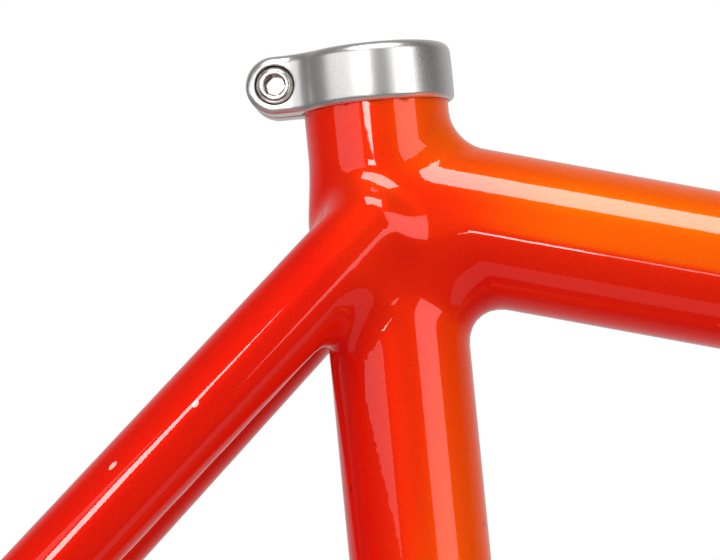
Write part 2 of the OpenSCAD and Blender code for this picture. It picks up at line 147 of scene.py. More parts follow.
def skinFromField(field, low, high, step):
    # Samples the field near the surface only, joins the crossings into quads and moves them onto it.
    low, high = np.array(low, float), np.array(high, float)
    count = np.ceil((high - low) / step).astype(int) + 1
    block = 6
    blocks = np.ceil(count / block).astype(int)
    grid = np.stack(np.meshgrid(*[np.arange(n) for n in blocks], indexing="ij"), -1).reshape(-1, 3)
    middle = low + (grid * block + (block - 1) / 2) * step
    far = field(middle)
    values = np.repeat(np.repeat(np.repeat(np.where(far > 0, 9.0, -9.0).astype(np.float32).reshape(blocks),
                                           block, 0), block, 1), block, 2)
    near = grid[np.abs(far) < block * step * 1.2]
    cell = np.stack(np.meshgrid(*[np.arange(block)] * 3, indexing="ij"), -1).reshape(-1, 3)
    for part in np.array_split(near, max(1, len(near) // 2000)):
        ijk = (part[:, None, :] * block + cell[None]).reshape(-1, 3)
        values[ijk[:, 0], ijk[:, 1], ijk[:, 2]] = field(low + ijk * step)
    inside = values < 0
    shape = np.array(values.shape) - 1
    total = np.zeros((*shape, 3), np.float32)
    hits = np.zeros(shape, np.float32)
    edges = []
    for axis in range(3):
        a = [slice(None)] * 3
        b = [slice(None)] * 3
        a[axis], b[axis] = slice(0, -1), slice(1, None)
        i, j, k = np.nonzero(inside[tuple(a)] != inside[tuple(b)])
        at = np.stack([i, j, k], 1)
        to = at.copy()
        to[:, axis] += 1
        va, vb = values[tuple(at.T)], values[tuple(to.T)]
        point = at.astype(np.float32)
        point[:, axis] += va / (va - vb)
        u, w = (axis + 1) % 3, (axis + 2) % 3
        ok = (at[:, u] > 0) & (at[:, w] > 0) & (at[:, u] < shape[u]) & (at[:, w] < shape[w])
        at, point, flip = at[ok], point[ok], (va < 0)[ok]
        ring = []
        for du, dw in ((1, 1), (0, 1), (0, 0), (1, 0)):
            c = at.copy()
            c[:, u] -= du
            c[:, w] -= dw
            ring.append(c)
            np.add.at(hits, tuple(c.T), 1)
            np.add.at(total, tuple(c.T), point)
        edges.append((ring, flip))
    used = np.argwhere(hits > 0)
    index = -np.ones(hits.shape, np.int64)
    index[tuple(used.T)] = np.arange(len(used))
    points = low + (total[tuple(used.T)] / hits[tuple(used.T)][:, None]).astype(float) * step
    faces = []
    for ring, flip in edges:
        q = np.stack([index[tuple(c.T)] for c in ring], 1)
        q[~flip] = q[~flip][:, ::-1]
        faces.append(q)
    faces = np.concatenate(faces)
    for turn in range(5):
        g = slope(field, points)
        points -= np.clip(field(points) / np.maximum((g * g).sum(1), 0.05), -step, step)[:, None] * g
    return points, faces


def meshObject(name, points, faces):
    mesh = bpy.data.meshes.new(name)
    mesh.from_pydata((points * 0.001).tolist(), [], faces.tolist())
    mesh.validate()
    made = bpy.data.objects.new(name, mesh)
    scene.collection.objects.link(made)
    return made


def cutOff(made, point, normal, reach):
    # Removes what lies past the plane, within reach of the point, and closes nothing.
    work = bmesh.new()
    work.from_mesh(made.data)
    centre, out = Vector(point) * 0.001, Vector(normal)
    near = [f for f in work.faces if (f.calc_center_median() - centre).length < reach * 0.001]
    parts = list({v for f in near for v in f.verts}) + list({e for f in near for e in f.edges}) + near
    bmesh.ops.bisect_plane(work, geom=parts, plane_co=centre, plane_no=out, clear_outer=True, dist=1e-7)
    work.to_mesh(made.data)
    work.free()


def openEnds(made, isLid):
    # Takes away the lid that the field leaves over a bore.
    work = bmesh.new()
    work.from_mesh(made.data)
    lids = [f for f in work.faces if isLid(f.calc_center_median() * 1000)]
    bmesh.ops.delete(work, geom=lids, context="FACES")
    work.to_mesh(made.data)
    work.free()


def shadeFromField(made, field):
    count = len(made.data.vertices)
    p = np.empty(count * 3)
    made.data.vertices.foreach_get("co", p)
    p = p.reshape(-1, 3) * 1000
    g = slope(field, p)
    g /= np.maximum(np.linalg.norm(g, axis=1), 1e-9)[:, None]
    made.data.shade_smooth()
    made.data.normals_split_custom_set_from_vertices(g.tolist())
    return p, g


# The rear half is one painted skin over the welded tubes.

rearSkin = {
    "step": 1.7,
    "neckFillet": 7.0, "underFillet": 9.5,  # top tube to seat tube, above and below
    "sideFillet": 2.6,  # the same joint on its flanks
    "stayFilletHigh": 5.0, "stayFilletLow": 9.0, "domeFillet": 5.0, "domeEnd": -3.0, "domeRound": 5.0,
    "neckSwell": 0.45, "neckEdge": 0.9, "topTubeStart": 4.0,
    # heights and distances over which one shape eases into the next
    "swellEase": (-34.0, 2.0), "weldEase": (-6.0, 8.0), "flankEase": (3.0, 15.0), "flankHeight": (-9.0, 3.0),
    "stayEase": (-6.0, 6.0), "domeEase": (-16.0, -4.0),
    "topTubeReach": 190.0, "downTubeReach": 0.42, "endGap": 0.1,  # past the hinge, where they are cut
    "slotHalf": 1.0, "slotDepth": 34.0, "slotHole": 2.5,
    "shellFillet": 6.0, "chainFillet": 4.5, "bridgeFillet": 3.0,
    "shellFace": 1.0,  # the paint stops this far inside the shell's ends
    "mouthFace": 7.0,  # and this far below the seat tube's mouth
    "capRound": 1.5,  # rounding of the down tube's closed end
}
rearEnd = sizes["foldX"] - sizes["plateThickness"]
frontEnd = sizes["foldX"] + sizes["plateThickness"]
faceAt = sizes["shellWidth"] / 2 - rearSkin["shellFace"]


def stayTop(s):
    return stayPoint + side(s * sizes["stayOffset"])


def stayLow(s):
    return axle + sizes["tipBack"] * stayLine + side(s * tipSide)


def stayAt(s, t):
    run = stayLow(s) - stayTop(s)
    return stayTop(s) + t * run / np.linalg.norm(run)


def rearField(p):
    r = rearSkin
    z = (p - cluster) @ upSeat
    # seat tube and top tube: a wide weld above and below, a tight one on the flanks
    neckEnd = sizes["neckHeight"]
    swell = r["neckSwell"] * ease(z, *r["swellEase"]) * (1 - ease(z, neckEnd, neckEnd + r["neckEdge"]))
    seat = flatTube(p, 0 * upSeat, (seatTop + 6) * upSeat, sizes["seatTube"]) - swell
    topStart = cluster + np.array([r["topTubeStart"], 0, 0])
    top = roundTube(p, topStart, np.array([r["topTubeReach"], 0, cluster[2]]), sizes["topTube"])
    topFillet = r["underFillet"] + (r["neckFillet"] - r["underFillet"]) * ease(z, *r["weldEase"])
    onFlank = ease(np.abs(p[:, 1]), *r["flankEase"]) * ease(z, *r["flankHeight"])
    topFillet += (r["sideFillet"] - topFillet) * onFlank
    body = weld(seat, top, topFillet)
    down = roundTube(p, np.zeros(3), downPoint * r["downTubeReach"], sizes["downTube"])
    down = carve(down, p[:, 0] - rearEnd + r["endGap"], r["capRound"])
    body = weld(body, down, r["shellFillet"])
    # seat stays: straight and rounded at the top, tapered towards the dropouts
    aboveStay = (p - cluster) @ np.array([-stayLine[2], 0, stayLine[0]])
    stayFillet = r["stayFilletLow"] + (r["stayFilletHigh"] - r["stayFilletLow"]) * ease(aboveStay, *r["stayEase"])
    onDome = ease((p - stayPoint) @ stayLine, *r["domeEase"])
    stayFillet += (r["domeFillet"] - stayFillet) * onDome
    taperFrom = sizes["taperFrom"]
    for s in (-1, 1):
        along = (p - stayTop(s)) @ (stayAt(s, 1) - stayAt(s, 0))
        upper = roundTube(p, stayAt(s, r["domeEnd"] - 30), stayAt(s, taperFrom), sizes["seatStay"])
        upper = carve(upper, r["domeEnd"] - along, r["domeRound"])
        lower = roundTube(p, stayAt(s, taperFrom), stayLow(s), sizes["seatStay"], sizes["stayTip"])
        body = weld(body, np.minimum(upper, lower), stayFillet)
    # bottom bracket shell and chain stays
    shell = flatTube(p, side(-faceAt), side(faceAt), sizes["shell"])
    fromShell = np.hypot(p[:, 0], p[:, 2])
    body = weld(body, shell, r["shellFillet"])
    for s in (-1, 1):
        chain = roundTube(p, side(s * (sizes["shellWidth"] / 2 - sizes["chainStay"] - 1)),
                          axle + sizes["tipBack"] * chainLine + side(s * tipSide),
                          sizes["chainStay"], sizes["stayTip"])
        chain = carve(chain, sizes["shell"] - 0.5 - fromShell, 0.3)
        body = weld(body, chain, r["chainFillet"])
    body = carve(body, np.minimum(sizes["shell"] + 0.05 - fromShell, np.abs(p[:, 1]) - faceAt), 0.3)
    # brake bridge with its boss, and the bridge between the chain stays
    bridgeAt = (stayAt(1, sizes["bridgeDown"]) + stayAt(-1, sizes["bridgeDown"])) / 2
    reach, boss = side(stayAt(1, sizes["bridgeDown"])[1]), side(sizes["bridgeBossHalf"])
    bridge = np.minimum(roundTube(p, bridgeAt - reach, bridgeAt + reach, sizes["bridge"]),
                        flatTube(p, bridgeAt - boss, bridgeAt + boss, sizes["bridgeBoss"]))
    body = weld(body, bridge, r["bridgeFillet"])
    back, half = sizes["lowBridgeBack"], side(sizes["lowBridgeHalf"])
    low = np.array([-back, 0.0, back * sizes["axleRise"] / -axle[0]])
    return weld(body, roundTube(p, low - half, low + half, sizes["lowBridge"]), r["bridgeFillet"])


print("building the rear skin")
points, faces = skinFromField(rearField, (-398, -80, -28), (146, 80, 548), rearSkin["step"])
rearFrame = meshObject("rearFrameSkin", points, faces)
cutOff(rearFrame, (rearEnd, 0, cluster[2]), (1, 0, 0), 40)
cutOff(rearFrame, (seatTop - rearSkin["mouthFace"]) * upSeat, upSeat, 30)
openEnds(rearFrame, lambda c: abs(c.y) > faceAt - 0.5 and math.hypot(c.x, c.z) < sizes["shell"] - 0.8)


def cutSlot(made):
    # The clamp slot down the back of the seat tube, with the round hole that ends it.
    half, hole = rearSkin["slotHalf"] * 0.001, rearSkin["slotHole"] * 0.001
    low = (seatTop - rearSkin["slotDepth"]) * upSeat * 0.001
    work = bmesh.new()
    work.from_mesh(made.data)
    back, up = -Vector(forwardSeat), Vector(upSeat)

    def local(point):
        d = point - Vector(low)
        return d.dot(back), d.y, d.dot(up)

    def isNear(f):
        d, y, z = local(f.calc_center_median())
        return d > 0.008 and abs(y) < 0.007 and -0.008 < z < 0.06

    def nearFaces():
        return [f for f in work.faces if isNear(f)]

    sides = 14
    turns = [2 * math.pi * (k + 0.5) / sides for k in range(sides)]
    flat = hole * math.cos(math.pi / sides)
    cuts = [(Vector(low) + Vector((0, s * half, 0)), Vector((0, s, 0))) for s in (-1, 1)]
    for a in turns:
        out = Vector((0, math.cos(a), 0)) + up * math.sin(a)
        cuts.append((Vector(low) + out * flat, out))
    for point, out in cuts:
        faces = nearFaces()
        parts = list({v for f in faces for v in f.verts}) + list({e for f in faces for e in f.edges}) + faces
        bmesh.ops.bisect_plane(work, geom=parts, plane_co=point, plane_no=out, dist=1e-8)
    gone = []
    for f in nearFaces():
        d, y, z = local(f.calc_center_median())
        inHole = max(y * math.cos(a) + z * math.sin(a) for a in turns) < flat
        if (abs(y) < half and z > 0) or inHole:
            gone.append(f)
    bmesh.ops.delete(work, geom=gone, context="FACES")
    work.to_mesh(made.data)
    work.free()


cutSlot(rearFrame)
rearPoints, rearNormals = shadeFromField(rearFrame, rearField)
print("rear skin:", len(rearFrame.data.polygons), "faces")
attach(rearFrame, "rear_frame")
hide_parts("seat_tube", "top_tube_rear", "down_tube_rear", "bottom_bracket_shell",
            "seat_stay_right", "seat_stay_left", "chain_stay_right", "chain_stay_left",
            "brake_bridge", "chain_stay_bridge")

# The front half, from the hinges to the head tube.

frontSkin = {
    "step": 2.0, "fillet": 8.0,
    "lowFillet": 0.8, "lowEase": (4.0, 20.0),  # where the down tube meets the head tube's lower end
    "lip": 1.6, "lipHeight": 9.0, "lipFillet": 2.0,  # thicker ends of the head tube
    "past": 3.0, "topFace": 1.0, "lowFace": 0.6,  # the paint stops inside the head tube's ends
}


def frontField(p):
    f = frontSkin
    lipRadius = sizes["headTube"] + f["lip"]
    low, high = headLow - f["past"] * upHead, headTop + f["past"] * upHead
    head = flatTube(p, low, high, sizes["headTube"])
    lip = np.minimum(flatTube(p, low, headLow + f["lipHeight"] * upHead, lipRadius),
                     flatTube(p, headTop - f["lipHeight"] * upHead, high, lipRadius))
    head = weld(head, lip, f["lipFillet"])
    top = flatTube(p, np.array([frontEnd - 4, 0, cluster[2]]), headPoint, sizes["topTube"])
    down = flatTube(p, downPoint * 0.25, downPoint, sizes["downTube"])
    down = carve(down, frontEnd + rearSkin["endGap"] - p[:, 0], rearSkin["capRound"])
    fillet = f["lowFillet"] + (f["fillet"] - f["lowFillet"]) * ease((p - headLow) @ upHead, *f["lowEase"])
    return weld(weld(top, down, f["fillet"]), head, fillet)


print("building the front skin")
points, faces = skinFromField(frontField, (158, -24, 90), (450, 24, 520), frontSkin["step"])
frontFrame = meshObject("frontFrameSkin", points, faces)
cutOff(frontFrame, (frontEnd, 0, cluster[2]), (-1, 0, 0), 60)
cutOff(frontFrame, headTop - frontSkin["topFace"] * upHead, upHead, 21)
cutOff(frontFrame, headLow + frontSkin["lowFace"] * upHead, -upHead, 21)
frontPoints, frontNormals = shadeFromField(frontFrame, frontField)
print("front skin:", len(frontFrame.data.polygons), "faces")
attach(frontFrame, "front_frame")
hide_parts("top_tube_front", "down_tube_front", "head_tube")

# Paint: red to orange, with painted light and shade set into the colour by surface direction, and fine metal
# flakes under a clear coat.

paintLook = {
    "red": (0.78, 0.0036, 0.002), "middle": (0.94, 0.030, 0.001), "orange": (1.0, 0.130, 0.0),
    "metal": 0.25, "roughness": (0.34, 0.46), "coatRoughness": 0.025, "coatIor": 1.55,
    "cloudScale": 28.0, "cloudShare": 0.10,
    "flakeScale": 5200.0, "flakeDark": 0.93, "flakeBright": 1.12, "flakeHeight": 0.00001,
    "peelScale": 260.0, "peelHeight": 0.000012,
    "chipScale": 190.0, "chipAreas": 33.0, "chipRound": (0.10, 0.17), "chipDepth": -1.2,
    "chip": (0.16, 0.02, 0.012), "paleMark": (0.85, 0.62, 0.55), "darkMark": (0.22, 0.02, 0.008),
}
# Single marks: which tube, millimetres down it, degrees round from the right side, radius, stretch
# along the tube, and whether the mark is pale.
scuffs = [("seat", 31.5, 42.0, 0.55, 3.0, False), ("stay", 60.0, -6.0, 0.75, 1.6, True),
          ("stay", 82.0, -32.0, 0.7, 2.2, True), ("seat", 62.0, 58.0, 0.5, 2.6, False)]


# The fade goes from 0, red, to 1, orange: a tone for each part of the frame, plus painted light that turns
# surfaces facing the light orange and painted shade that turns those facing away or down red. Each "Ease" is a
# stretch in millimetres from the seat cluster.
fadeAndPaintedLight = {
    "lightFrom": (0.55, 0.0, 0.83),
    "seatTone": 0.33, "seatLit": 0.20, "seatShadeBelow": 0.35,
    "neckTone": 0.50, "neckLit": 0.52, "neckEase": (-4.0, 16.0),
    "topTone": 0.32, "topShadeBelow": 0.25, "topLitAbove": 0.60, "topLitSlope": 0.10, "topLitEdge": (-0.17, -0.04),
    "topEase": (4.0, 46.0),
    "headTone": 0.86, "headLit": 0.10, "headEase": (440.0, 505.0),
    "stayTone": 0.12, "stayLit": 0.10, "stayEase": (-4.0, 22.0), "behindEase": (2.0, 16.0),
}


def addFadeAndPaintedLight(made, p, n):
    # Orange above and ahead, red behind and below: painted light and shade from how each surface faces the light,
    # over a tone for each tube.
    f = fadeAndPaintedLight
    at = p - cluster
    height, ahead, back, behind = at @ upSeat, at[:, 0], at @ -stayLine, -(at @ forwardSeat)
    # painted light: the more a surface faces the light, the more orange it turns
    towardsLight = n @ np.array(f["lightFrom"])
    # painted shade: surfaces facing down turn redder
    shadeBelow, up = np.minimum(n[:, 2], 0), n[:, 2]
    seat = f["seatTone"] + f["seatLit"] * towardsLight + f["seatShadeBelow"] * shadeBelow
    neck = f["neckTone"] + f["neckLit"] * towardsLight
    # painted reflection on the top tube: orange above a sharp edge in surface direction, where a strip of light
    # reflects, red below it
    top = f["topTone"] + f["topShadeBelow"] * shadeBelow + (f["topLitAbove"] + f["topLitSlope"] * up) * ease(up, *f["topLitEdge"])
    fade = seat + (neck - seat) * ease(height, *f["neckEase"])
    fade += (top - fade) * ease(ahead, *f["topEase"])
    fade += (f["headTone"] + f["headLit"] * towardsLight - fade) * ease(ahead, *f["headEase"])
    stay = f["stayTone"] + f["stayLit"] * towardsLight
    fade += (stay - fade) * ease(back, *f["stayEase"]) * ease(behind, *f["behindEase"])
    # stored per point: the paint's tones with painted light and shade
    layer = made.data.attributes.new("paintFadeAndLight", "FLOAT", "POINT")
    layer.data.foreach_set("value", np.clip(fade, 0.0, 1.0).astype(np.float32))


def newMaterial(name):
    material = bpy.data.materials.new(name)
    material.use_nodes = True
    tree = material.node_tree
    shader = next(n for n in tree.nodes if n.type == "BSDF_PRINCIPLED")
    return material, tree, shader


def addNode(tree, kind, **values):
    node = tree.nodes.new(kind)
    for key, value in values.items():
        if hasattr(node, key):
            setattr(node, key, value)
        else:
            node.inputs[key].default_value = value
    return node


def addRamp(tree, source, stops):
    ramp = tree.nodes.new("ShaderNodeValToRGB")
    while len(ramp.color_ramp.elements) < len(stops):
        ramp.color_ramp.elements.new(0.5)
    for element, (at, colour) in zip(ramp.color_ramp.elements, stops):
        element.position = at
        element.color = (*colour, 1.0) if len(colour) == 3 else colour
    tree.links.new(source, ramp.inputs["Fac"])
    return ramp


def gray(v):
    return (v, v, v)


def addScuff(tree, place, colour, tube, down, turn, radius, stretch, pale):
    # A small mark, longer along the tube than across it, with a broken edge.
    along, start = (-upSeat, cluster) if tube == "seat" else (unit(stayLow(-1) - stayTop(-1)), stayTop(-1))
    out = unit(side(-1.0) - (side(-1.0) @ along) * along)
    sideways = np.cross(along, out) * (1 if tube == "seat" else -1)
    width = sizes["seatTube"] if tube == "seat" else sizes["seatStay"]
    a = math.radians(turn)
    middle = (start + along * down + (out * math.cos(a) + sideways * math.sin(a)) * width) * 0.001
    offset = addNode(tree, "ShaderNodeVectorMath", operation="SUBTRACT")
    tree.links.new(place, offset.inputs[0])
    offset.inputs[1].default_value = tuple(middle)
    run = addNode(tree, "ShaderNodeVectorMath", operation="DOT_PRODUCT")
    tree.links.new(offset.outputs["Vector"], run.inputs[0])
    run.inputs[1].default_value = tuple(along * math.sqrt(1 - 1 / stretch ** 2))
    whole = addNode(tree, "ShaderNodeVectorMath", operation="LENGTH")
    tree.links.new(offset.outputs["Vector"], whole.inputs[0])
    squares = []
    for length in (whole, run):
        square = addNode(tree, "ShaderNodeMath", operation="MULTIPLY")
        tree.links.new(length.outputs["Value"], square.inputs[0])
        tree.links.new(length.outputs["Value"], square.inputs[1])
        squares.append(square)
    left = addNode(tree, "ShaderNodeMath", operation="SUBTRACT")
    tree.links.new(squares[0].outputs[0], left.inputs[0])
    tree.links.new(squares[1].outputs[0], left.inputs[1])
    share = addNode(tree, "ShaderNodeMath", operation="MULTIPLY")
    tree.links.new(left.outputs[0], share.inputs[0])
    share.inputs[1].default_value = 1 / (radius * 0.001) ** 2
    fine = addNode(tree, "ShaderNodeTexNoise", **{"Scale": 1500.0, "Detail": 3.0})
    tree.links.new(place, fine.inputs["Vector"])
    ragged = addNode(tree, "ShaderNodeMath", operation="MULTIPLY_ADD")
    tree.links.new(fine.outputs["Fac"], ragged.inputs[0])
    ragged.inputs[1].default_value = 0.6
    tree.links.new(share.outputs[0], ragged.inputs[2])
    mask = addRamp(tree, ragged.outputs[0], [(0.0, gray(0.9)), (0.80, gray(0.9)), (1.0, gray(0.0))])
    mark = addNode(tree, "ShaderNodeMix", data_type="RGBA")
    tree.links.new(mask.outputs["Color"], mark.inputs[0])
    tree.links.new(colour, mark.inputs[6])
    mark.inputs[7].default_value = (*paintLook["paleMark" if pale else "darkMark"], 1)
    return mark.outputs[2]


def makePaint(name, withFade=True, fadeValue=0.0):
    material, tree, shader = newMaterial(name)
    link = tree.links.new
    place = addNode(tree, "ShaderNodeTexCoord").outputs["Object"]
    cloud = addNode(tree, "ShaderNodeTexNoise", **{"Scale": paintLook["cloudScale"], "Detail": 3.0})
    link(place, cloud.inputs["Vector"])
    if withFade:
        # the fade holds the paint's tones with painted light and shade
        fade = addNode(tree, "ShaderNodeAttribute", attribute_name="paintFadeAndLight").outputs["Fac"]
    else:
        fade = addNode(tree, "ShaderNodeMath", operation="ADD")
        fade.inputs[0].default_value = fadeValue
        shift = addNode(tree, "ShaderNodeMath", operation="MULTIPLY")
        shift.inputs[1].default_value = paintLook["cloudShare"] / 2
        link(cloud.outputs["Fac"], shift.inputs[0])
        link(shift.outputs[0], fade.inputs[1])
        fade = fade.outputs[0]
    uneven = addNode(tree, "ShaderNodeMath", operation="MULTIPLY_ADD")
    uneven.inputs[1].default_value = paintLook["cloudShare"]
    link(cloud.outputs["Fac"], uneven.inputs[0])
    link(fade, uneven.inputs[2])
    lower = addNode(tree, "ShaderNodeMath", operation="SUBTRACT")
    lower.inputs[1].default_value = paintLook["cloudShare"] / 2
    link(uneven.outputs[0], lower.inputs[0])
    stops = [(0.0, paintLook["red"]), (0.5, paintLook["middle"]), (1.0, paintLook["orange"])]
    colour = addRamp(tree, lower.outputs[0], stops)
    # metal flakes under the clear coat
    flake = addNode(tree, "ShaderNodeTexVoronoi", **{"Scale": paintLook["flakeScale"]})
    link(place, flake.inputs["Vector"])
    spark = addNode(tree, "ShaderNodeSeparateColor")
    link(flake.outputs["Color"], spark.inputs["Color"])
    flakes = [(0.0, gray(paintLook["flakeDark"])), (0.8, gray(1.0)), (0.96, gray(paintLook["flakeBright"]))]
    glint = addRamp(tree, spark.outputs["Red"], flakes)
    mixed = addNode(tree, "ShaderNodeMix", data_type="RGBA", blend_type="MULTIPLY")
    mixed.inputs[0].default_value = 1.0
    link(colour.outputs["Color"], mixed.inputs[6])
    link(glint.outputs["Color"], mixed.inputs[7])
    # a few small chips and scuffs
    chip = addNode(tree, "ShaderNodeTexVoronoi", **{"Scale": paintLook["chipScale"], "Randomness": 1.0})
    link(place, chip.inputs["Vector"])
    where = addNode(tree, "ShaderNodeTexNoise", **{"Scale": paintLook["chipAreas"], "Detail": 2.0})
    link(place, where.inputs["Vector"])
    few = addRamp(tree, where.outputs["Fac"], [(0.0, gray(0.0)), (0.66, gray(0.0)), (0.70, gray(1.0))])
    full, gone = paintLook["chipRound"]
    dot = addRamp(tree, chip.outputs["Distance"], [(0.0, gray(1.0)), (full, gray(1.0)), (gone, gray(0.0))])
    chips = addNode(tree, "ShaderNodeMath", operation="MULTIPLY")
    link(few.outputs["Color"], chips.inputs[0])
    link(dot.outputs["Color"], chips.inputs[1])
    worn = addNode(tree, "ShaderNodeMix", data_type="RGBA")
    link(chips.outputs[0], worn.inputs[0])
    link(mixed.outputs[2], worn.inputs[6])
    worn.inputs[7].default_value = (*paintLook["chip"], 1)
    finish = worn.outputs[2]
    if withFade:
        for tube, down, turn, radius, stretch, pale in scuffs:
            finish = addScuff(tree, place, finish, tube, down, turn, radius, stretch, pale)
    link(finish, shader.inputs["Base Color"])
    shader.inputs["Metallic"].default_value = paintLook["metal"]
    shader.inputs["Specular IOR Level"].default_value = 0.0
    smooth, dull = paintLook["roughness"]
    rough = addRamp(tree, spark.outputs["Green"], [(0.0, gray(smooth)), (1.0, gray(dull))])
    link(rough.outputs["Color"], shader.inputs["Roughness"])
    shader.inputs["Coat Weight"].default_value = 1.0
    shader.inputs["Coat Roughness"].default_value = paintLook["coatRoughness"]
    shader.inputs["Coat IOR"].default_value = paintLook["coatIor"]
    peel = addNode(tree, "ShaderNodeTexNoise", **{"Scale": paintLook["peelScale"], "Detail": 1.5})
    link(place, peel.inputs["Vector"])
    height = addNode(tree, "ShaderNodeMath", operation="MULTIPLY_ADD")
    link(chips.outputs[0], height.inputs[0])
    height.inputs[1].default_value = paintLook["chipDepth"]
    link(peel.outputs["Fac"], height.inputs[2])
    bump = addNode(tree, "ShaderNodeBump", **{"Strength": 1.0, "Distance": paintLook["peelHeight"]})
    link(height.outputs[0], bump.inputs["Height"])
    link(bump.outputs["Normal"], shader.inputs["Coat Normal"])
    grain = addNode(tree, "ShaderNodeBump", **{"Strength": 0.2, "Distance": paintLook["flakeHeight"]})
    link(spark.outputs["Blue"], grain.inputs["Height"])
    link(bump.outputs["Normal"], grain.inputs["Normal"])
    link(grain.outputs["Normal"], shader.inputs["Normal"])
    return material


addFadeAndPaintedLight(rearFrame, rearPoints, rearNormals)
addFadeAndPaintedLight(frontFrame, frontPoints, frontNormals)
litFadePaint = makePaint("litFadePaint")
redPaint = makePaint("redPaint", False, 0.02)
rearFrame.data.materials.append(litFadePaint)
frontFrame.data.materials.append(litFadePaint)

# Bare and coloured metals.

def makeMetal(name, colour, roughness, grainScale=900.0, grainHeight=0.000006, spread=0.10,
              metallic=1.0, stretch=(1, 1, 1)):
    material, tree, shader = newMaterial(name)
    link = tree.links.new
    place = addNode(tree, "ShaderNodeTexCoord").outputs["Object"]
    fit = addNode(tree, "ShaderNodeMapping")
    fit.inputs["Scale"].default_value = stretch
    link(place, fit.inputs["Vector"])
    grain = addNode(tree, "ShaderNodeTexNoise", **{"Scale": grainScale, "Detail": 4.0, "Roughness": 0.65})
    link(fit.outputs["Vector"], grain.inputs["Vector"])
    cloud = addNode(tree, "ShaderNodeTexNoise", **{"Scale": 70.0, "Detail": 3.0})
    link(place, cloud.inputs["Vector"])
    tone = addRamp(tree, cloud.outputs["Fac"], [(0.3, tuple(c * 0.90 for c in colour)), (0.7, colour)])
    link(tone.outputs["Color"], shader.inputs["Base Color"])
    shader.inputs["Metallic"].default_value = metallic
    shader.inputs["Specular IOR Level"].default_value = 0.4
    both = addNode(tree, "ShaderNodeMath", operation="ADD")
    link(grain.outputs["Fac"], both.inputs[0])
    link(cloud.outputs["Fac"], both.inputs[1])
    smooth, dull = max(0.02, roughness - spread / 2), roughness + spread / 2
    rough = addRamp(tree, both.outputs[0], [(0.6, gray(smooth)), (1.0, gray(dull))])
    link(rough.outputs["Color"], shader.inputs["Roughness"])
    bump = addNode(tree, "ShaderNodeBump", **{"Strength": 1.0, "Distance": grainHeight})
    link(grain.outputs["Fac"], bump.inputs["Height"])
    link(bump.outputs["Normal"], shader.inputs["Normal"])
    return material


collarAlloy = makeMetal("collarAlloy", (0.88, 0.86, 0.84), 0.26, 2600.0, 0.0000015, 0.10, 0.86)
boltSteel = makeMetal("boltSteel", (0.60, 0.57, 0.54), 0.20, 2600.0, 0.0000004)
zincSteel = makeMetal("zincSteel", (0.60, 0.61, 0.63), 0.30, 1600.0)
blackAlloy = makeMetal("blackAlloy", (0.045, 0.045, 0.05), 0.38, 2600.0, 0.000008, 0.1, 0.85)
forgedAlloy = makeMetal("forgedAlloy", (0.10, 0.10, 0.11), 0.42, 2200.0, 0.000012, 0.14, 0.9)
clearAlloy = makeMetal("clearAlloy", (0.66, 0.66, 0.67), 0.30, 2000.0, 0.000006)
rawAlloy = makeMetal("rawAlloy", (0.74, 0.74, 0.75), 0.28, 1800.0, 0.000006, 0.1, 1.0, (1, 6, 1))
bronze = makeMetal("bronze", (0.62, 0.38, 0.15), 0.35, 1500.0)

# The seat clamp is a ring with two ears, drawn together by a socket bolt.

collarSizes = {
    "step": 0.28,
    "inner": 15.95, "outer": 17.85, "height": 13.2, "earBack": 21.9, "earSide": 8.5, "earStart": 6.0,
    "earBlend": 3.0, "topRound": 2.3, "lowRound": 1.3, "slot": 1.0, "slotStart": 10.0,
    "boltHole": 2.8, "counterbore": 4.5, "seatDepth": 3.3, "washerGap": 0.02,
    "nutHalf": 4.09, "nutSide": 4.4,  # the nut's pocket in the far ear
    "crown": 0.12, "taper": 0.05, "boreChamfer": 0.8, "edge": 0.3, "slotEdge": 0.25, "holeEdge": 0.15,
}
collarMiddle = (seatTop - sizes["collarHeight"] / 2) * upSeat
collarAxes = np.stack([forwardSeat, side(1.0), upSeat])


def hexDistance(x, z, turned):
    angles = [turned + k * math.pi / 3 for k in range(3)]
    return np.max([np.abs(x * math.cos(a) + z * math.sin(a)) for a in angles], axis=0)


def collarField(p):
    c = collarSizes
    q = (p - collarMiddle) @ collarAxes.T
    x, y, z = q[:, 0], q[:, 1], q[:, 2]
    half = c["height"] / 2
    rho = np.sqrt(x * x + y * y)
    ring = rho - c["outer"] - c["crown"] * (1 - (z / half) ** 2) + c["taper"] * z / half
    ear = np.maximum(np.abs(y) - c["earSide"], x + c["earStart"])
    plan = weld(ring, ear, c["earBlend"])
    face = np.hypot(np.minimum(x + c["earBack"], 0), z) - half
    body = carve(plan, face, c["lowRound"] + (c["topRound"] - c["lowRound"]) * ease(z, -2.0, 3.0))
    body = carve(body, c["inner"] - rho, c["edge"])
    body = carve(body, (c["inner"] + c["boreChamfer"] - rho - (z + half)) / math.sqrt(2), 0.1)
    beyond = np.maximum(x + c["slotStart"], 0.0)  # keeps the slot behind the tube
    body = carve(body, c["slot"] - np.abs(y) - beyond, c["slotEdge"])
    bolt = np.sqrt((x + c["earBack"]) ** 2 + z * z)
    body = carve(body, c["boltHole"] - bolt, c["holeEdge"])
    seat = -y - c["seatDepth"] + c["washerGap"]
    body = carve(body, np.minimum(c["counterbore"] - bolt, seat), c["edge"])
    pocket = hexDistance(x + c["earBack"], z, math.pi / 6)
    return carve(body, np.minimum(c["nutHalf"] - pocket, y - c["nutSide"]), c["holeEdge"])


def placed(local):
    return collarMiddle + np.asarray(local, float) @ collarAxes


print("building the seat clamp")
low = placed([[-30, -10, -8], [20, 20, 8], [-30, 20, 8], [20, -20, -8]])
points, faces = skinFromField(collarField, low.min(0) - [2, 9, 4], low.max(0) + [2, 2, 4],
                              collarSizes["step"])
collar = meshObject("seatClampCollar", points, faces)
shadeFromField(collar, collarField)
collar.data.materials.append(collarAlloy)
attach(collar, "seat_clamp")
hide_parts("seat_clamp_ring")

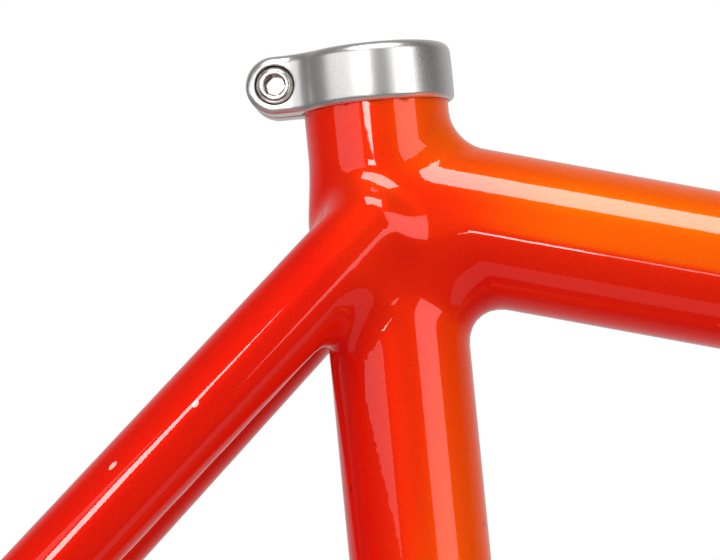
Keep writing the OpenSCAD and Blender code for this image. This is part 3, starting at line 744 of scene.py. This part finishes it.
boltSizes = {
    "step": 0.11,
    "head": 4.25, "headHeight": 4.65, "chamfer": 0.85, "shank": 2.5, "shankEnd": 8.0, "washer": 0.5,
    "socket": 2.15, "socketDepth": 2.6, "socketTurn": 0.2, "socketChamfer": 0.42,
}


def boltField(p):
    b = boltSizes
    q = (p - collarMiddle) @ collarAxes.T
    x, y, z = q[:, 0] + collarSizes["earBack"], q[:, 1], q[:, 2]
    rho = np.sqrt(x * x + z * z)
    base = -(collarSizes["seatDepth"] + b["washer"] + collarSizes["washerGap"])
    face = base - b["headHeight"]
    head = carve(rho - b["head"], face - y, 0.25)
    head = carve(head, (rho - b["head"] + b["chamfer"] - (y - face)) / math.sqrt(2), 0.2)
    head = carve(head, y - base, 0.1)
    middle, half = (base + b["shankEnd"]) / 2, (b["shankEnd"] - base) / 2
    shank = np.maximum(rho - b["shank"], np.abs(y - middle) - half)
    body = weld(head, shank, 0.2)
    deep = y - (face + b["socketDepth"])
    body = carve(body, np.minimum(b["socket"] - hexDistance(x, z, b["socketTurn"]), -deep), 0.12)
    mouth = b["socket"] + b["socketChamfer"] - rho - (y - face)
    return carve(body, mouth, 0.05)


ends = placed([[-27.5, -9.5, -5], [-17.5, 9, 5], [-27.5, 9, 5], [-17.5, -9.5, -5]])
points, faces = skinFromField(boltField, ends.min(0) - [2, 0.5, 2], ends.max(0) + [2, 0.5, 2],
                              boltSizes["step"])
bolt = meshObject("seatClampBoltBody", points, faces)
shadeFromField(bolt, boltField)
bolt.data.materials.append(boltSteel)
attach(bolt, "seat_bolt")
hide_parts("seat_clamp_bolt")

# Machined ends: turned rings inside the open tubes.

def turnedRing(name, at, axis, profile, material, body, segments=128, gap=None):
    # profile is a closed loop of (radius, height along the axis) in millimetres
    out = Vector(axis).normalized()
    u = out.orthogonal().normalized()
    w = out.cross(u)
    work = bmesh.new()
    rings = []
    for k in range(segments):
        a = 2 * math.pi * k / segments
        radial = u * math.cos(a) + w * math.sin(a)
        rings.append([work.verts.new((Vector(at) + radial * r + out * h) * 0.001) for r, h in profile])
    for k in range(segments):
        a, b = rings[k], rings[(k + 1) % segments]
        between = (a[0].co + b[0].co) / 2 * 1000
        if gap is not None and abs(between.y) < gap and between.x < at[0]:
            continue  # the slot
        for m in range(len(profile)):
            n = (m + 1) % len(profile)
            work.faces.new((a[m], b[m], b[n], a[n]))
    bmesh.ops.recalc_face_normals(work, faces=work.faces)
    mesh = bpy.data.meshes.new(name)
    work.to_mesh(mesh)
    work.free()
    made = bpy.data.objects.new(name, mesh)
    scene.collection.objects.link(made)
    mesh.shade_smooth()
    mesh.set_sharp_from_angle(angle=math.radians(32))
    mesh.materials.append(material)
    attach(made, body)
    return made


def ringProfile(inner, outer, depth, edge=0.4, shoulder=5.0, hidden=1.0, pitch=0.0, groove=0.3):
    # full width near the face, then thinner by "hidden" inside the painted skin; pitch cuts a thread
    wall = [(inner, -depth), (inner, -edge)]
    if pitch:
        turns = int((depth - 2 * edge) / pitch)
        wall = [(inner, -depth)]
        for k in range(turns, 0, -1):
            wall += [(inner, -edge - k * pitch), (inner + groove, -edge - (k - 0.5) * pitch)]
        wall.append((inner, -edge))
    return wall + [(inner + edge, 0.0), (outer - edge, 0.0), (outer, -edge),
                   (outer, -shoulder), (outer - hidden, -shoulder - 1.0), (outer - hidden, -depth)]


ringSizes = {"mouthDepth": 30.5, "headDepth": 14.0, "shellPitch": 1.06, "linerEnd": 13.0, "tuck": 0.02}

mouthSides = ringProfile(sizes["seatpost"], sizes["seatTube"], ringSizes["mouthDepth"], 0.35, 8.0)
turnedRing("seatTubeMouth", seatTop * upSeat, upSeat, mouthSides, rawAlloy, "rear_frame",
           gap=1.1)
shellSides = ringProfile(sizes["shellThread"], sizes["shell"], sizes["shellWidth"] / 2 - ringSizes["tuck"],
                         0.5, 1.2, pitch=ringSizes["shellPitch"])
for s, label in ((-1, "Right"), (1, "Left")):
    turnedRing("shellRing" + label, (0, s * sizes["shellWidth"] / 2, 0), (0, s, 0), shellSides, rawAlloy,
               "rear_frame")
headSides = ringProfile(sizes["headset"], sizes["headTube"] + frontSkin["lip"] - ringSizes["tuck"],
                        ringSizes["headDepth"], 0.5, 1.2, 2.2)
for label, at, out in (("Upper", headTop, upHead), ("Lower", headLow, -upHead)):
    turnedRing("headRing" + label, at, out, headSides, rawAlloy, "front_frame")
linerLow, linerTop = ringSizes["linerEnd"], sizes["headTubeLength"] - ringSizes["linerEnd"]
linerSides = [(sizes["steerer"], linerLow), (sizes["steerer"], linerTop),
              (sizes["headset"] + 0.5, linerTop), (sizes["headset"] + 0.5, linerLow)]
turnedRing("headLiner", headLow, upHead, linerSides, rawAlloy, "front_frame")

# The pieces below keep their own shape and get softened edges and a finish.

finishes = {
    "dropout_right": redPaint, "dropout_left": redPaint,
    "derailleur_hanger": blackAlloy, "hanger_bolts": zincSteel, "bottle_bosses": zincSteel,
    "upper_hinge_plate_rear": forgedAlloy, "lower_hinge_plate_rear": forgedAlloy,
    "upper_hinge_plate_front": forgedAlloy, "lower_hinge_plate_front": forgedAlloy,
    "upper_hinge_pin": zincSteel, "lower_hinge_pin": zincSteel, "hinge_pin_screws": zincSteel,
    "upper_hinge_bush": bronze, "lower_hinge_bush": bronze,
    "upper_clamp_stud": zincSteel, "lower_clamp_stud": zincSteel,
    "upper_clamp_plate": clearAlloy, "lower_clamp_plate": clearAlloy,
    "upper_clamp_washer": zincSteel, "lower_clamp_washer": zincSteel,
    "upper_clamp_lever": blackAlloy, "lower_clamp_lever": blackAlloy,
    "seat_clamp_washer": boltSteel, "seat_clamp_nut": boltSteel,
}
softEdges = {
    "dropout_right": 0.6, "dropout_left": 0.6, "derailleur_hanger": 0.4, "upper_hinge_plate_rear": 0.7,
    "lower_hinge_plate_rear": 0.7, "upper_hinge_plate_front": 0.7, "lower_hinge_plate_front": 0.7,
    "upper_clamp_plate": 0.7, "lower_clamp_plate": 0.7, "upper_clamp_lever": 1.2, "lower_clamp_lever": 1.2,
}
for name, material in finishes.items():
    piece = nodes[name]
    piece.data.materials.clear()
    piece.data.materials.append(material)
    if name in softEdges:
        join = piece.modifiers.new("join", "WELD")
        join.merge_threshold = 0.00001
        soften = piece.modifiers.new("soften", "BEVEL")
        soften.width = softEdges[name] * 0.001
        soften.segments = 3
        soften.limit_method = "ANGLE"
        soften.angle_limit = math.radians(35)
        soften.harden_normals = True
print("finishes given to", len(finishes), "nodes")

# Camera, light and floor.

viewSizes = {
    "roll": 10.35, "rightPerDepth": 0.060, "downPerDepth": 0.055, "lens": 180.0, "sensor": 36.0,
    "distance": 814.48, "beside": 5.882, "below": 15.95,  # the aim lies beside and below the seat cluster
}
turn = math.radians(viewSizes["roll"])
across = np.array([math.cos(turn), 0.0, math.sin(turn)])
above = np.array([-math.sin(turn), 0.0, math.cos(turn)])
look = unit(side(1.0) - viewSizes["rightPerDepth"] * across + viewSizes["downPerDepth"] * above)
across = unit(across - (across @ look) * look)
above = np.cross(across, look)
aim = cluster - across * viewSizes["beside"] - above * viewSizes["below"]
cameraData = bpy.data.cameras.new("camera")
cameraData.lens = viewSizes["lens"]
cameraData.sensor_width = viewSizes["sensor"]
cameraData.clip_start, cameraData.clip_end = 0.05, 50.0
camera = bpy.data.objects.new("camera", cameraData)
scene.collection.objects.link(camera)
place = (aim - look * viewSizes["distance"]) * 0.001
camera.matrix_world = Matrix([(across[k], above[k], -look[k], place[k]) for k in range(3)] + [(0, 0, 0, 1)])
scene.camera = camera

# Each softbox: degrees sideways and upward from the camera's line as seen from the seat cluster,
# degrees wide and tall, brightness, metres away, and whether it lights matt surfaces too.
softboxes = {
    "leftBox": (-50, 14, 44, 36, 1.0, 1.3, True),
    "rightBox": (46, 10, 36, 50, 1.8, 1.3, False),
    "overheadBox": (-3, 66, 44, 28, 7.5, 1.3, False),
    "smallBox": (-17, 16.5, 10, 17, 12.0, 1.3, False),
    "lowStrip": (-9, -9.5, 10, 2.4, 12.0, 1.3, False),
    "lowStripEnd": (1, -9.5, 10, 2.0, 4.0, 1.3, False),
    "lowBox": (4, -62, 100, 22, 0.3, 0.5, False),
}


def softbox(name, sideways, upward, wide, tall, bright, away, spreads):
    a, b = math.radians(sideways), math.radians(upward)
    to = -look * math.cos(a) * math.cos(b) + across * math.sin(a) * math.cos(b) + above * math.sin(b)
    data = bpy.data.lights.new(name, "AREA")
    data.shape = "RECTANGLE"
    data.size = 2 * away * math.tan(math.radians(wide / 2))
    data.size_y = 2 * away * math.tan(math.radians(tall / 2))
    data.energy = math.pi * bright * data.size * data.size_y
    made = bpy.data.objects.new(name, data)
    scene.collection.objects.link(made)
    back = Vector(to)
    at = Vector(cluster) * 0.001 + back * away
    flat = Vector(above) - back * Vector(above).dot(back)
    if flat.length < 0.2:
        flat = Vector(look) - back * Vector(look).dot(back)
    flat.normalize()
    right = flat.cross(back)
    made.matrix_world = Matrix([(right[k], flat[k], back[k], at[k]) for k in range(3)] + [(0, 0, 0, 1)])
    made.visible_camera = False
    made.visible_diffuse = spreads


for name, values in softboxes.items():
    softbox(name, *values)
print("lights set:", len(softboxes))

# The room: white to the camera, even on matt surfaces, and in reflections brighter behind the frame.
roomSizes = {"backdrop": 1.0, "even": 1.12, "dim": 0.05, "bright": 0.55, "dimFrom": 0.25, "brightFrom": 0.95}
world = bpy.data.worlds.new("studio")
scene.world = world
world.use_nodes = True
tree = world.node_tree
sky = next(n for n in tree.nodes if n.type == "BACKGROUND")
out = next(n for n in tree.nodes if n.type == "OUTPUT_WORLD")
plain = tree.nodes.new("ShaderNodeBackground")
plain.inputs["Color"].default_value = (1, 1, 1, 1)
plain.inputs["Strength"].default_value = roomSizes["backdrop"]
where = tree.nodes.new("ShaderNodeTexCoord")
split = tree.nodes.new("ShaderNodeSeparateXYZ")
tree.links.new(where.outputs["Generated"], split.inputs[0])
shade = tree.nodes.new("ShaderNodeMapRange")
shade.inputs["From Min"].default_value = roomSizes["dimFrom"]
shade.inputs["From Max"].default_value = roomSizes["brightFrom"]
shade.inputs["To Min"].default_value = roomSizes["dim"]
shade.inputs["To Max"].default_value = roomSizes["bright"]
tree.links.new(split.outputs["Y"], shade.inputs["Value"])
tree.links.new(shade.outputs[0], sky.inputs["Strength"])
sky.inputs["Color"].default_value = (1, 1, 1, 1)
ray = tree.nodes.new("ShaderNodeLightPath")
around = tree.nodes.new("ShaderNodeBackground")
around.inputs["Color"].default_value = (1, 1, 1, 1)
around.inputs["Strength"].default_value = roomSizes["even"]
spread = tree.nodes.new("ShaderNodeMixShader")
tree.links.new(ray.outputs["Is Diffuse Ray"], spread.inputs["Fac"])
tree.links.new(sky.outputs[0], spread.inputs[1])
tree.links.new(around.outputs[0], spread.inputs[2])
choose = tree.nodes.new("ShaderNodeMixShader")
tree.links.new(ray.outputs["Is Camera Ray"], choose.inputs["Fac"])
tree.links.new(spread.outputs[0], choose.inputs[1])
tree.links.new(plain.outputs[0], choose.inputs[2])
tree.links.new(choose.outputs[0], out.inputs["Surface"])

floorSizes = {"radius": 6.0, "below": 0.012}
floorMesh = bpy.data.meshes.new("floor")
work = bmesh.new()
bmesh.ops.create_circle(work, cap_ends=True, segments=128, radius=floorSizes["radius"])
work.to_mesh(floorMesh)
work.free()
floor = bpy.data.objects.new("floor", floorMesh)
floor.location = (0, 0, cadLow[2] - floorSizes["below"])
scene.collection.objects.link(floor)
floorMaterial, tree, shader = newMaterial("paleFloor")
noise = addNode(tree, "ShaderNodeTexNoise", **{"Scale": 5.0, "Detail": 4.0})
tone = addRamp(tree, noise.outputs["Fac"], [(0.3, gray(0.80)), (0.7, gray(0.84))])
tree.links.new(tone.outputs["Color"], shader.inputs["Base Color"])
shader.inputs["Roughness"].default_value = 0.7
floorMesh.materials.append(floorMaterial)
floor.visible_glossy = False

scene.view_settings.view_transform = "Standard"
scene.view_settings.look = "None"
